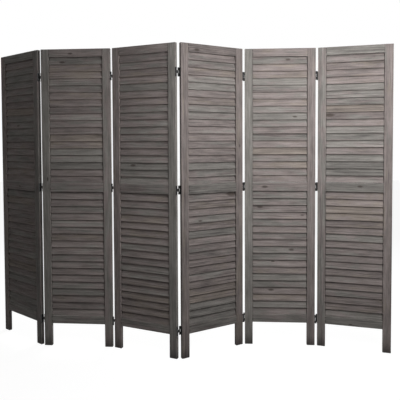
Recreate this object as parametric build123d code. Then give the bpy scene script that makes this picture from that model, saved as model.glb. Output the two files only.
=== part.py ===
"""Louvred folding screen of six timber panels, standing part folded on its double-action hinges.

Millimetres. +Z is up, the front faces -Y and +X runs to the right. The origin is under the middle of the
standing screen. A panel is drawn flat first: x runs from its left edge, y through its thickness with the
front at -THICKNESS / 2, z from the floor. The fold then carries each panel to its place.
"""

from build123d import *
from math import cos, radians, sin
import os

os.makedirs("parts", exist_ok=True)

# One panel
PANEL_WIDTH = 400.0
PANEL_HEIGHT = 1700.0
THICKNESS = 20.0
STILE_WIDTH = 45.0
TOP_RAIL_HEIGHT = 45.0
MIDDLE_RAIL_HEIGHT = 50.0
BOTTOM_RAIL_HEIGHT = 45.0
FOOT_HEIGHT = 130.0  # clear height under the bottom rail
LOWER_BAY = 715.0  # height of the louvred bay over the bottom rail
EDGE_BEVEL = 1.0  # eased long edges of stiles and rails
FOOT_BEVEL = 2.5  # eased rim under each foot

# Stub tenons of the rails
TENON_LENGTH = 25.0
TENON_THICKNESS = 8.0
TENON_SHOULDER = 6.0  # kept above and below each tenon
MORTISE_RELIEF = 1.0  # room for glue beyond the tenon's end

# Louvres
LOUVRES_PER_BAY = 18
LOUVRE_WIDTH = 43.0
LOUVRE_THICKNESS = 5.0
LOUVRE_TILT = 16.0  # degrees from upright, lower edge forward
LOUVRE_SEAT = 8.0  # how far each end enters its slot
LOUVRE_END_GAP = 0.5  # between the outermost louvres and the rails

# Double-action hinges, three on each line
HINGE_GAP = 12.0  # between the edges of neighbouring panels
PIVOT_OFFSET = 1.0  # pivots stand this far outside the faces, so folded panels clear by twice this
HINGE_HEIGHT = 48.0
HINGE_BELOW_TOP = 155.0  # centre of the top hinge under the panel's top
LEAF_THICKNESS = 1.5
LEAF_BACK_MARGIN = 4.0  # from the leaf's free edge to the far face
BARREL_RADIUS = 3.5
BARREL_SIDES = 12  # flats that stand for each rolled barrel, because the screen has ninety of them
KNUCKLE_GAP = 0.3  # between stacked knuckles
WEB_THICKNESS = 2.5

# The standing fold, in degrees seen from above, anticlockwise positive
FIRST_HEADING = -40.6
LINE_TURNS = (35.6, -20.2, 55.7, -34.7, -13.2)

PANELS = len(LINE_TURNS) + 1
PIVOT_Y = THICKNESS / 2 + PIVOT_OFFSET
INNER_WIDTH = PANEL_WIDTH - 2 * STILE_WIDTH
MIDDLE_RAIL_BASE = FOOT_HEIGHT + BOTTOM_RAIL_HEIGHT + LOWER_BAY
UPPER_BAY_BASE = MIDDLE_RAIL_BASE + MIDDLE_RAIL_HEIGHT
UPPER_BAY = PANEL_HEIGHT - TOP_RAIL_HEIGHT - UPPER_BAY_BASE
RAILS = {
    "bottom_rail": (FOOT_HEIGHT, BOTTOM_RAIL_HEIGHT),
    "middle_rail": (MIDDLE_RAIL_BASE, MIDDLE_RAIL_HEIGHT),
    "top_rail": (PANEL_HEIGHT - TOP_RAIL_HEIGHT, TOP_RAIL_HEIGHT),
}
BAYS = {
    "lower_louvres": (FOOT_HEIGHT + BOTTOM_RAIL_HEIGHT, LOWER_BAY),
    "upper_louvres": (UPPER_BAY_BASE, UPPER_BAY),
}
HINGE_CENTRES = (
    FOOT_HEIGHT + BOTTOM_RAIL_HEIGHT / 2,
    MIDDLE_RAIL_BASE + MIDDLE_RAIL_HEIGHT / 2,
    PANEL_HEIGHT - HINGE_BELOW_TOP,
)


def block(x, y, z):
    """A box between two limits on each axis."""
    size = (x[1] - x[0], y[1] - y[0], z[1] - z[0])
    return Pos(x[0], y[0], z[0]) * Box(*size, align=(Align.MIN, Align.MIN, Align.MIN))


def eased_bar(width, height):
    """A bar of width by THICKNESS with its four long edges bevelled, standing on z = 0."""
    outline = chamfer(Rectangle(width, THICKNESS).vertices(), EDGE_BEVEL)
    return extrude(outline, height)


def louvre_heights(base, height):
    """Centre heights of one bay's louvres, evenly stepped between its two rails."""
    tilt = radians(LOUVRE_TILT)
    tall = LOUVRE_WIDTH * cos(tilt) + LOUVRE_THICKNESS * sin(tilt)
    low = base + LOUVRE_END_GAP + tall / 2
    high = base + height - LOUVRE_END_GAP - tall / 2
    step = (high - low) / (LOUVRES_PER_BAY - 1)
    return [low + i * step for i in range(LOUVRES_PER_BAY)]


def louvre(x, z):
    """One slat between two x limits, its lower edge leaning to the front."""
    slat = Box(x[1] - x[0], LOUVRE_THICKNESS, LOUVRE_WIDTH)
    return Pos((x[0] + x[1]) / 2, 0, z) * Rot(X=-LOUVRE_TILT) * slat


def bay_louvres(base, height):
    """All slats of a bay, each long enough to enter both stiles."""
    x = (STILE_WIDTH - LOUVRE_SEAT, PANEL_WIDTH - STILE_WIDTH + LOUVRE_SEAT)
    return Compound([louvre(x, z) for z in louvre_heights(base, height)])


def tenon_limits(base, height, length):
    """Height and thickness limits of a rail's tenon, and its reach into both stiles."""
    z = (base + TENON_SHOULDER, base + height - TENON_SHOULDER)
    y = (-TENON_THICKNESS / 2, TENON_THICKNESS / 2)
    x = (STILE_WIDTH - length, PANEL_WIDTH - STILE_WIDTH + length)
    return x, y, z


def rail(base, height):
    """A rail with its bevelled body between the stiles and a stub tenon at each end."""
    outline = chamfer(Rectangle(THICKNESS, height).vertices(), EDGE_BEVEL)
    body = extrude(Plane.YZ * outline, INNER_WIDTH)
    body = Pos(STILE_WIDTH, 0, base + height / 2) * body
    return body + block(*tenon_limits(base, height, TENON_LENGTH))


def stile(left):
    """A left or right stile: one long bar, mortised for the rails and slotted for the louvres."""
    middle = STILE_WIDTH / 2 if left else PANEL_WIDTH - STILE_WIDTH / 2
    foot = block((-STILE_WIDTH / 2, STILE_WIDTH / 2), (-THICKNESS / 2, THICKNESS / 2), (0, PANEL_HEIGHT))
    foot = chamfer(foot.faces().sort_by(Axis.Z)[0].edges(), FOOT_BEVEL)
    bar = eased_bar(STILE_WIDTH, PANEL_HEIGHT) & foot
    mortise = TENON_LENGTH + MORTISE_RELIEF
    cuts = [block(*tenon_limits(*limits, mortise)) for limits in RAILS.values()]
    cuts += [slat for bay in BAYS.values() for slat in bay_louvres(*bay).solids()]
    return Pos(middle, 0, 0) * bar - cuts


def knuckle_limits(centre):
    """Heights of the lower leaf knuckle, the link's knuckle and the upper leaf knuckle."""
    third = (HINGE_HEIGHT - 2 * KNUCKLE_GAP) / 3
    low = centre - HINGE_HEIGHT / 2
    starts = [low + i * (third + KNUCKLE_GAP) for i in range(3)]
    return [(start, start + third) for start in starts]


def barrel(z):
    """A closed knuckle on the Z axis between two heights; its pin is hidden inside."""
    outline = RegularPolygon(BARREL_RADIUS, BARREL_SIDES)
    return Pos(0, 0, z[0]) * extrude(outline, z[1] - z[0])


def left_leaf(centre):
    """The leaf on a panel's right edge, x = 0 there, bent out to two knuckles on the front pivot."""
    lower, _, upper = knuckle_limits(centre)
    plate_y = (-PIVOT_Y, THICKNESS / 2 - LEAF_BACK_MARGIN)
    leaf = block((0, LEAF_THICKNESS), plate_y, (lower[0], upper[1]))
    for z in (lower, upper):
        arm_y = (-PIVOT_Y, -PIVOT_Y + LEAF_THICKNESS)
        leaf += block((0, HINGE_GAP / 2), arm_y, z)
        leaf += Pos(HINGE_GAP / 2, -PIVOT_Y, 0) * barrel(z)
    return leaf


def hinge_link(centre):
    """The link between the two pivots: a barrel on each, joined by a web."""
    z = knuckle_limits(centre)[1]
    link = block((-WEB_THICKNESS / 2, WEB_THICKNESS / 2), (-PIVOT_Y, PIVOT_Y), z)
    for side in (-1, 1):
        link += Pos(0, side * PIVOT_Y, 0) * barrel(z)
    return link


def at_heading(place, heading, shape):
    """A flat-drawn piece with its origin at a place in plan and its +X pointing to a heading."""
    location = Location((place[0], place[1], 0), (0, 0, heading))
    return Compound([location * solid for solid in shape.solids()])


def step_from(point, heading, along, back):
    """The plan point reached from another by going along a heading and then square to it, to the back."""
    a = radians(heading)
    return (
        point[0] + along * cos(a) - back * sin(a),
        point[1] + along * sin(a) + back * cos(a),
    )


def fold_plan():
    """Left end of each panel's mid-plane, each panel's heading, and each link's middle with its heading.

    A positive turn swings the next panel about the rear pivot and leaves the link square to the panel
    before it. A negative turn swings link and panel together about the front pivot.
    """
    left_end, heading = (0.0, 0.0), FIRST_HEADING
    panels, links = [(left_end, heading)], []
    for turn in LINE_TURNS:
        side = 1 if turn > 0 else -1
        pivot = step_from(left_end, heading, PANEL_WIDTH + HINGE_GAP / 2, side * PIVOT_Y)
        link_heading = heading if turn > 0 else heading + turn
        link_middle = step_from(pivot, link_heading, 0, -side * PIVOT_Y)
        heading += turn
        left_end = step_from(pivot, heading, HINGE_GAP / 2, -side * PIVOT_Y)
        panels.append((left_end, heading))
        links.append((link_middle, link_heading))
    return panels, links


def centred(panels, links):
    """The same plan moved so that the middle of its rectangle of ground is at the origin."""
    points = []
    for place, heading in panels:
        for along in (0, PANEL_WIDTH):
            for back in (-THICKNESS / 2, THICKNESS / 2):
                points.append(step_from(place, heading, along, back))
    for place, heading in links:
        for back in (-PIVOT_Y, PIVOT_Y):
            x, y = step_from(place, heading, 0, back)
            points += [(x + dx, y + dy) for dx in (-BARREL_RADIUS, BARREL_RADIUS)
                       for dy in (-BARREL_RADIUS, BARREL_RADIUS)]
    middle = [(min(p[i] for p in points) + max(p[i] for p in points)) / 2 for i in (0, 1)]

    def moved(plan):
        return [((x - middle[0], y - middle[1]), heading) for (x, y), heading in plan]

    return moved(panels), moved(links)


PANEL_PLAN, LINK_PLAN = centred(*fold_plan())

# Each kind of piece is drawn once and copied to its places
panel_pieces = {"left_stile": stile(True), "right_stile": stile(False)}
panel_pieces.update({name: rail(*limits) for name, limits in RAILS.items()})
panel_pieces.update({name: bay_louvres(*limits) for name, limits in BAYS.items()})
leaf_drawings = [left_leaf(z) for z in HINGE_CENTRES]
left_leaves = Compound([Pos(PANEL_WIDTH, 0, 0) * leaf for leaf in leaf_drawings])
right_leaves = Compound([Rot(Z=180) * leaf for leaf in leaf_drawings])
links = Compound([hinge_link(z) for z in HINGE_CENTRES])

nodes = {}
for number, (place, heading) in enumerate(PANEL_PLAN, start=1):
    for name, piece in panel_pieces.items():
        nodes[f"panel_{number}_{name}"] = at_heading(place, heading, piece)
    if number < PANELS:
        nodes[f"hinge_{number}_left_leaves"] = at_heading(place, heading, left_leaves)
    if number > 1:
        nodes[f"hinge_{number - 1}_right_leaves"] = at_heading(place, heading, right_leaves)
for number, (place, heading) in enumerate(LINK_PLAN, start=1):
    nodes[f"hinge_{number}_links"] = at_heading(place, heading, links)

for name, shape in nodes.items():
    export_step(shape, f"parts/{name}.step")
pitch = louvre_heights(*BAYS["upper_louvres"])[1] - louvre_heights(*BAYS["upper_louvres"])[0]
print(f"{len(nodes)} nodes, louvre pitch {pitch:.2f} mm")
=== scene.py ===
"""Dresses the louvred folding screen: washed timber, black double-action hinges, floor, studio.

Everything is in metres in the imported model's own frame: +Z is up, the front faces -Y and +X runs
to the right along the screen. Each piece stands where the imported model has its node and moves
with its body.
"""

from __future__ import annotations

import logging
import math
from dataclasses import dataclass, field
from enum import Enum

import bpy
import numpy as np
from mathutils import Matrix, Vector


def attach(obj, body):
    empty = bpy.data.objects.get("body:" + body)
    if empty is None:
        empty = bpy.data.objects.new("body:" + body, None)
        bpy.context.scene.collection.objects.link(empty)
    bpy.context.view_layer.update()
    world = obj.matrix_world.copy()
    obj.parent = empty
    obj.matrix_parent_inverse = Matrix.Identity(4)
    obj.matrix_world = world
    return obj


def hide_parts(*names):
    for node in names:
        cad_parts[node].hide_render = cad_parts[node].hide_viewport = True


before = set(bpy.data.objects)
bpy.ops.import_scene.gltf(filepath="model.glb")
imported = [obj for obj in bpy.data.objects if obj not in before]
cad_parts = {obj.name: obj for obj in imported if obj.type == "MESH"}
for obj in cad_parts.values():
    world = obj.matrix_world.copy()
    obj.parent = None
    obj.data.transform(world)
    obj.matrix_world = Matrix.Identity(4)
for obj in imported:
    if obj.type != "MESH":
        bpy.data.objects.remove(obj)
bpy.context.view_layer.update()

LOG = logging.getLogger("folding_screen")
Array = np.ndarray
Colour = tuple[float, float, float, float]


# Sizes and the standing fold


@dataclass(frozen=True)
class Place:
    """A point of the floor plan and the heading, in degrees, that a drawing's +X takes there."""

    x: float
    y: float
    heading: float

    def step(self, along: float, back: float) -> tuple[float, float]:
        """Goes along the heading and then square to it, to the back.

        Args:
            along: distance along the heading.
            back: distance to the back of it.

        Returns:
            The plan point reached.
        """
        a = math.radians(self.heading)
        return (
            self.x + along * math.cos(a) - back * math.sin(a),
            self.y + along * math.sin(a) + back * math.cos(a),
        )

    def turn(self, vectors: Array) -> Array:
        """Turns vectors of the flat drawing by the heading, about Z.

        Args:
            vectors: (..., 3) array.

        Returns:
            The turned vectors.
        """
        a = math.radians(self.heading)
        cos, sin = math.cos(a), math.sin(a)
        return vectors @ np.array([[cos, -sin, 0], [sin, cos, 0], [0, 0, 1]]).T

    def carry(self, points: Array) -> Array:
        """Takes points of the flat drawing to their place in the standing screen."""
        return self.turn(points) + np.array([self.x, self.y, 0.0])


@dataclass(frozen=True)
class ScreenSizes:
    """The screen's measures in metres and degrees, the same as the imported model's.

    The barrel's radius is the one exception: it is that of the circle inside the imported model's
    many-sided barrels, and the barrel's reach is the radius of those.
    """

    panel_width: float = 0.400
    panel_height: float = 1.700
    thickness: float = 0.020
    stile_width: float = 0.045
    top_rail: float = 0.045
    middle_rail: float = 0.050
    bottom_rail: float = 0.045
    foot_height: float = 0.130
    bay: float = 0.715
    louvres_per_bay: int = 18
    louvre_width: float = 0.043
    louvre_thickness: float = 0.005
    louvre_tilt: float = 16.0
    louvre_end_gap: float = 0.0005
    hinge_gap: float = 0.012
    pivot_offset: float = 0.001
    hinge_height: float = 0.048
    hinge_below_top: float = 0.155
    leaf_thickness: float = 0.0015
    leaf_back_margin: float = 0.004
    barrel_reach: float = 0.0035
    barrel_radius: float = 0.00338
    knuckle_gap: float = 0.0003
    web_thickness: float = 0.0025
    first_heading: float = -40.6
    line_turns: tuple[float, ...] = (35.6, -20.2, 55.7, -34.7, -13.2)

    @property
    def pivot_y(self) -> float:
        """Distance of the pivots from a panel's middle plane."""
        return self.thickness / 2 + self.pivot_offset

    @property
    def rails(self) -> dict[str, tuple[float, float]]:
        """Base height and height of each rail."""
        middle = self.foot_height + self.bottom_rail + self.bay
        return {
            "bottom": (self.foot_height, self.bottom_rail),
            "middle": (middle, self.middle_rail),
            "top": (self.panel_height - self.top_rail, self.top_rail),
        }

    @property
    def bays(self) -> dict[str, float]:
        """Base height of each louvred bay."""
        lower = self.foot_height + self.bottom_rail
        return {"lower": lower, "upper": lower + self.bay + self.middle_rail}

    @property
    def hinge_heights(self) -> tuple[float, float, float]:
        """Centre heights of the three hinges of a line."""
        middle = self.foot_height + self.bottom_rail + self.bay + self.middle_rail / 2
        return (
            self.foot_height + self.bottom_rail / 2,
            middle,
            self.panel_height - self.hinge_below_top,
        )

    def louvre_heights(self, base: float) -> Array:
        """Centre heights of one bay's slats, evenly stepped between its rails.

        Args:
            base: height of the bay's lower end.

        Returns:
            The heights from below.
        """
        tilt = math.radians(self.louvre_tilt)
        tall = self.louvre_width * math.cos(tilt) + self.louvre_thickness * math.sin(tilt)
        room = self.louvre_end_gap + tall / 2
        return np.linspace(base + room, base + self.bay - room, self.louvres_per_bay)

    def plan(self) -> tuple[list[Place], list[Place]]:
        """The standing fold, centred on the origin.

        A positive turn swings the next panel about the rear pivot, with the link's web square to
        the panel before it. A negative turn swings link and panel together about the front pivot.

        Returns:
            The place of each panel's left end, and of each link's middle.
        """
        panels, links = [Place(0.0, 0.0, self.first_heading)], []
        for turn in self.line_turns:
            last, side = panels[-1], 1 if turn > 0 else -1
            pivot = last.step(self.panel_width + self.hinge_gap / 2, side * self.pivot_y)
            link_heading = last.heading if turn > 0 else last.heading + turn
            at_link = Place(*pivot, link_heading).step(0, -side * self.pivot_y)
            links.append(Place(*at_link, link_heading))
            heading = last.heading + turn
            at_panel = Place(*pivot, heading).step(self.hinge_gap / 2, -side * self.pivot_y)
            panels.append(Place(*at_panel, heading))
        corners = [
            p.step(along, back)
            for p in panels
            for along in (0, self.panel_width)
            for back in (-self.thickness / 2, self.thickness / 2)
        ]
        sides = (-self.pivot_y, self.pivot_y)
        pivots = np.array([p.step(0, back) for p in links for back in sides])
        reach = np.vstack([corners, pivots - self.barrel_reach, pivots + self.barrel_reach])
        middle = (reach.min(axis=0) + reach.max(axis=0)) / 2

        def moved(places: list[Place]) -> list[Place]:
            """The same places with the middle of the plan at the origin."""
            return [Place(p.x - middle[0], p.y - middle[1], p.heading) for p in places]

        return moved(panels), moved(links)


# Surfaces


ONE_PLANE = 1e-7  # rings nearer to each other than this lie in one plane


class Lay(Enum):
    """How a board's own axes, along, across and through, lie in the flat drawing of a panel."""

    UPRIGHT = "stiles: along is up, across is to the right, through is to the back"
    LEVEL = "rails and slats: along is to the right, across is up, through is to the front"

    def axes(self, tilt: float = 0.0) -> Array:
        """The three axes as the columns of a matrix.

        Args:
            tilt: degrees by which a level board leans, its lower edge to the front.

        Returns:
            A 3 by 3 matrix.
        """
        if self is Lay.UPRIGHT:
            return np.array([[0.0, 1.0, 0.0], [0.0, 0.0, 1.0], [1.0, 0.0, 0.0]])
        s, c = math.sin(math.radians(tilt)), math.cos(math.radians(tilt))
        return np.array([[1.0, 0.0, 0.0], [0.0, s, -c], [0.0, c, s]])


@dataclass
class Surface:
    """A closed skin of four-sided faces.

    Attributes:
        points: (n, 3) positions.
        faces: (m, 4) point numbers, counter-clockwise from outside.
        normals: (m, 4, 3) normal of each face corner.
        marks: (n, 3) arrays that the finishes read, by name.
    """

    points: Array
    faces: Array
    normals: Array
    marks: dict[str, Array] = field(default_factory=dict)

    def moved(self, axes: Array, origin: tuple[float, float, float], place: Place) -> Surface:
        """Lays the surface in a panel's flat drawing and carries it to its place.

        Args:
            axes: the surface's own axes as columns, in the flat drawing.
            origin: where the surface's origin goes, in the flat drawing.
            place: where the drawing stands.

        Returns:
            The moved surface, with its marks as they were.
        """
        points = place.carry(self.points @ axes.T + np.array(origin))
        return Surface(points, self.faces, place.turn(self.normals @ axes.T), self.marks)

    @staticmethod
    def joined(parts: list[Surface]) -> Surface:
        """Puts several surfaces into one.

        Args:
            parts: surfaces that carry the same marks.

        Returns:
            One surface with all their faces.
        """
        starts = np.cumsum([0] + [len(part.points) for part in parts[:-1]])
        return Surface(
            np.concatenate([part.points for part in parts]),
            np.concatenate([part.faces + start for part, start in zip(parts, starts)]),
            np.concatenate([part.normals for part in parts]),
            {k: np.concatenate([part.marks[k] for part in parts]) for k in parts[0].marks},
        )


def ringed(along: Array, plan: Array) -> Array:
    """Sets each section of an outline at its place along +X, or gives its normals their lean.

    Args:
        along: (stations,) the X of each section.
        plan: (stations, n, 2) the Y and Z of its points.

    Returns:
        A (stations, n, 3) array.
    """
    first = np.broadcast_to(along[:, None, None], (*plan.shape[:2], 1))
    return np.concatenate([first, plan], axis=-1)


def fan(angles: Array) -> Array:
    """The unit vectors (cos a, sin a) of some angles."""
    return np.stack([np.cos(angles), np.sin(angles)], axis=-1)


def corner_turns(bends: int) -> tuple[Array, Array, Array]:
    """The round corners of a rectangle, counter-clockwise from the middle of the right side.

    Args:
        bends: steps round each corner.

    Returns:
        For each point its angle, the number of its corner and that corner's two signs.
    """
    quarter = np.radians(np.linspace(0, 90, bends + 1))
    angle = (np.radians([0, 90, 180, 270])[:, None] + quarter).ravel()
    corner = np.repeat(np.arange(4), bends + 1)
    return angle, corner, np.array([[1, 1], [-1, 1], [-1, -1], [1, -1]])[corner]


def skinned(rings: Array, ring_normals: Array) -> Surface:
    """Skins a stack of equal rings and closes both ends.

    The side is a grid with the ring number as one parameter and the place round the ring as the
    other. Where two rings lie in one plane the side makes a square shoulder, whose normals are
    along X. Each end is a strip of quads that joins point i of the ring to its partner, the i-th
    from the end.

    Args:
        rings: (stations, n, 3) points, stacked along +X and counter-clockwise about it, n even.
        ring_normals: (stations, n, 3) outward normals of the same points.

    Returns:
        A closed surface.
    """
    stations, n, _ = rings.shape
    number = np.arange(stations * n).reshape(stations, n)
    beside = np.roll(number, -1, axis=1)
    side = np.stack([number[:-1], beside[:-1], beside[1:], number[1:]], axis=-1).reshape(-1, 4)
    rise = rings[1:, 0, 0] - rings[:-1, 0, 0]
    girth = np.abs(rings[1:, :, 2]).max(axis=1) - np.abs(rings[:-1, :, 2]).max(axis=1)
    shoulder = np.repeat(np.where(np.abs(rise) < ONE_PLANE, -np.sign(girth), 0.0), n)
    i = np.arange(n // 2 - 1)
    strip = np.stack([i, i + 1, n - 2 - i, n - 1 - i], axis=-1)
    first, last = number[0][strip][:, ::-1], number[-1][strip]
    flat_normals = ring_normals.reshape(-1, 3)
    side_normals = flat_normals[side].copy()
    side_normals[shoulder != 0] = 0.0
    side_normals[..., 0] += shoulder[:, None]
    out = np.zeros((len(strip), 4, 3))
    out[..., 0] = 1.0
    return Surface(
        rings.reshape(-1, 3),
        np.concatenate([side, first, last]),
        np.concatenate([side_normals, -out, out]),
    )


def drift(rng: np.random.Generator, along: Array, lines: int) -> Array:
    """Slow uneven drift between about -1 and 1: four sine waves of random length and phase.

    Args:
        rng: the source of the waves.
        along: (stations,) distances at which the drift is wanted.
        lines: how many separate drifts.

    Returns:
        A (stations, lines) array.
    """
    waves, usual_peak = 4, 2.8
    lengths = rng.uniform(0.03, 0.5, (waves, 1, lines))
    phases = rng.uniform(0, 2 * np.pi, (waves, 1, lines))
    return np.sin(2 * np.pi * along[None, :, None] / lengths + phases).sum(axis=0) / usual_peak


@dataclass(frozen=True)
class Knot:
    """A knot in a board: its place along and across from the board's middle, and its radius."""

    along: float
    across: float
    radius: float


FAR_KNOT = Knot(9.0, 9.0, 0.004)  # stands for none: nothing of it reaches a board


@dataclass(frozen=True)
class Board:
    """A sawn board with softened and unevenly worn arrises.

    Attributes:
        length: along the grain.
        width: across the grain.
        thickness: through the board.
        arris: radius of the long edges.
        end_round: radius of the rim at both ends, or 0 for a plain saw cut.
        spans: steps along the board.
        bends: steps round each arris.
        wear: share by which the arris radius drifts above its least value along the board.
        bow: how far the middle stands off the straight line between the ends.
        tongues: lengths at both ends that are thinned to a tongue, 0 for none.
    """

    length: float
    width: float
    thickness: float
    arris: float = 0.0016
    end_round: float = 0.0012
    spans: int = 24
    bends: int = 3
    wear: float = 0.4
    bow: float = 0.0
    tongues: tuple[float, float] = (0.0, 0.0)

    def stations(self) -> tuple[Array, Array, Array]:
        """Sections along the board: where each lies, its inset, and how its normals lean.

        At an end the rim turns through a quarter circle of the end's radius: at an angle a from
        the side, a section lies the radius times 1 - sin a from the end and is drawn in by the
        radius times 1 - cos a.

        Returns:
            Distances along, insets, and leans in radians towards +X.
        """
        straight = np.linspace(self.end_round, self.length - self.end_round, self.spans + 1)
        if self.tongues[0]:
            first, last = self.tongues[0], self.length - self.tongues[1]
            body = np.linspace(first, last, self.spans + 1)
            straight = np.concatenate([[0.0, first], body, [last, self.length]])
        if self.end_round == 0:
            return straight, np.zeros_like(straight), np.zeros_like(straight)
        lean = np.radians([90.0, 60.0, 30.0])
        rim, inset = self.end_round * (1 - np.sin(lean)), self.end_round * (1 - np.cos(lean))
        level = np.zeros(len(straight))
        return (
            np.concatenate([rim, straight, self.length - rim[::-1]]),
            np.concatenate([inset, level, inset[::-1]]),
            np.concatenate([-lean, level, lean[::-1]]),
        )

    def surface(
        self, rng: np.random.Generator, tone: float, hue: float, knot: Knot | None
    ) -> Surface:
        """The board from the origin along +X, with +Y across and +Z through.

        Each section is a rectangle with round corners: a point is its corner's centre plus the
        arris radius times the direction (cos a, sin a). The radius drifts along the board. A
        tongue is hardly narrower than the board, three tenths as thick, and lies towards its back.

        Args:
            rng: the source of wear and of the grain's place.
            tone: how light the wash is, 0 to 1.
            hue: where the wash lies between green grey, mauve grey and beige, 0 to 1.
            knot: a knot, if the board has one.

        Returns:
            The board's closed surface with the marks board, half, knot and stamp.
        """
        along, inset, lean = self.stations()
        angle, corner, signs = corner_turns(self.bends)
        radius = self.arris * (1 + self.wear * np.abs(drift(rng, along, 4)))[:, corner]
        cos, sin = np.cos(angle), np.sin(angle)
        y = signs[:, 0] * (self.width / 2 - inset[:, None] - radius) + radius * cos
        z = signs[:, 1] * (self.thickness / 2 - inset[:, None] - radius) + radius * sin
        if self.tongues[0]:
            for end in (slice(0, 2), slice(-2, None)):
                y[end] = y[end] * 0.995
                z[end] = z[end] * 0.3 - 0.2 * self.thickness
        sag = self.bow * rng.uniform(-1, 1) * np.sin(np.pi * along / self.length)
        rings = ringed(along, np.stack([y, z + sag[:, None]], axis=-1))
        normals = ringed(np.sin(lean), np.cos(lean)[:, None, None] * fan(angle))
        board = skinned(rings, normals)
        local = ringed(along - self.length / 2, np.stack([y, z], axis=-1)).reshape(-1, 3)
        spot = knot or FAR_KNOT
        from_knot = local - np.array([spot.along, spot.across, 0.0])
        from_knot[:, 2] = spot.radius
        seed = rng.uniform()
        board.marks = {
            "board": local,
            "half": np.tile([self.length, self.width, self.thickness], (len(local), 1)) / 2,
            "knot": from_knot,
            "stamp": np.tile([tone, hue, seed], (len(local), 1)),
        }
        return board


def metal_marks(surface: Surface, low: float, high: float) -> Surface:
    """Gives a hinge part the marks that the enamel reads: its own height from its middle.

    Args:
        surface: the part, with its height along X.
        low: height of its lower end.
        high: height of its upper end.

    Returns:
        The same surface with the marks board and half.
    """
    middle, half = (low + high) / 2, (high - low) / 2
    local = surface.points.copy()
    local[:, 0] -= middle
    no_arris = 0.05  # a half size so large that no long edge is worn
    surface.marks = {"board": local, "half": np.tile([half, no_arris, no_arris], (len(local), 1))}
    return surface


def raised(
    outline: Array, outward: Array, low: float, high: float, rim: float = 0.0004
) -> Surface:
    """Raises a closed outline between two heights, with its end rims turned over.

    A section at an angle a in the rim is the outline moved in along its normals by the rim times
    1 - cos a, at the rim times 1 - sin a from the end.

    Args:
        outline: (n, 2) points in plan, counter-clockwise seen from above, n even.
        outward: (n, 2) unit normals of the same points.
        low: height of the lower end.
        high: height of the upper end.
        rim: radius of the turned-over rims.

    Returns:
        A closed surface whose +X is up, +Y is plan x and +Z is plan y.
    """
    lean = np.radians([80.0, 40.0, 0.0])
    step, inset = rim * (1 - np.sin(lean)), rim * (1 - np.cos(lean))
    up = np.concatenate([low + step, high - step[::-1]])
    inset = np.concatenate([inset, inset[::-1]])
    lean = np.concatenate([-lean, lean[::-1]])
    rings = ringed(up, outline - inset[:, None, None] * outward)
    normals = ringed(np.sin(lean), np.cos(lean)[:, None, None] * outward)
    return metal_marks(skinned(rings, normals), low, high)


def rounded_outline(width: float, depth: float, radius: float) -> tuple[Array, Array]:
    """A rectangle about the origin with round corners, and its normals.

    Args:
        width: size along x.
        depth: size along y.
        radius: radius of the corners.

    Returns:
        (n, 2) points and (n, 2) unit normals, counter-clockwise from the middle of the right side.
    """
    angle, _, signs = corner_turns(3)
    outward = fan(angle)
    return signs * [width / 2 - radius, depth / 2 - radius] + radius * outward, outward


def dressed(name: str, surface: Surface, material: bpy.types.Material) -> bpy.types.Object:
    """Makes an object at the origin from a surface, with its normals, marks and material.

    Args:
        name: the piece's name.
        surface: its shape, in place.
        material: its finish.

    Returns:
        The new object.
    """
    mesh = bpy.data.meshes.new(name)
    mesh.from_pydata(surface.points.tolist(), [], surface.faces.tolist())
    mesh.shade_smooth()
    for key, values in surface.marks.items():
        mark = mesh.attributes.new(key, "FLOAT_VECTOR", "POINT")
        mark.data.foreach_set("vector", values.astype(np.float32).ravel())
    mesh.materials.append(material)
    mesh.normals_split_custom_set(surface.normals.reshape(-1, 3).tolist())
    piece = bpy.data.objects.new(name, mesh)
    bpy.context.scene.collection.objects.link(piece)
    return piece


# Finishes


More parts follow.
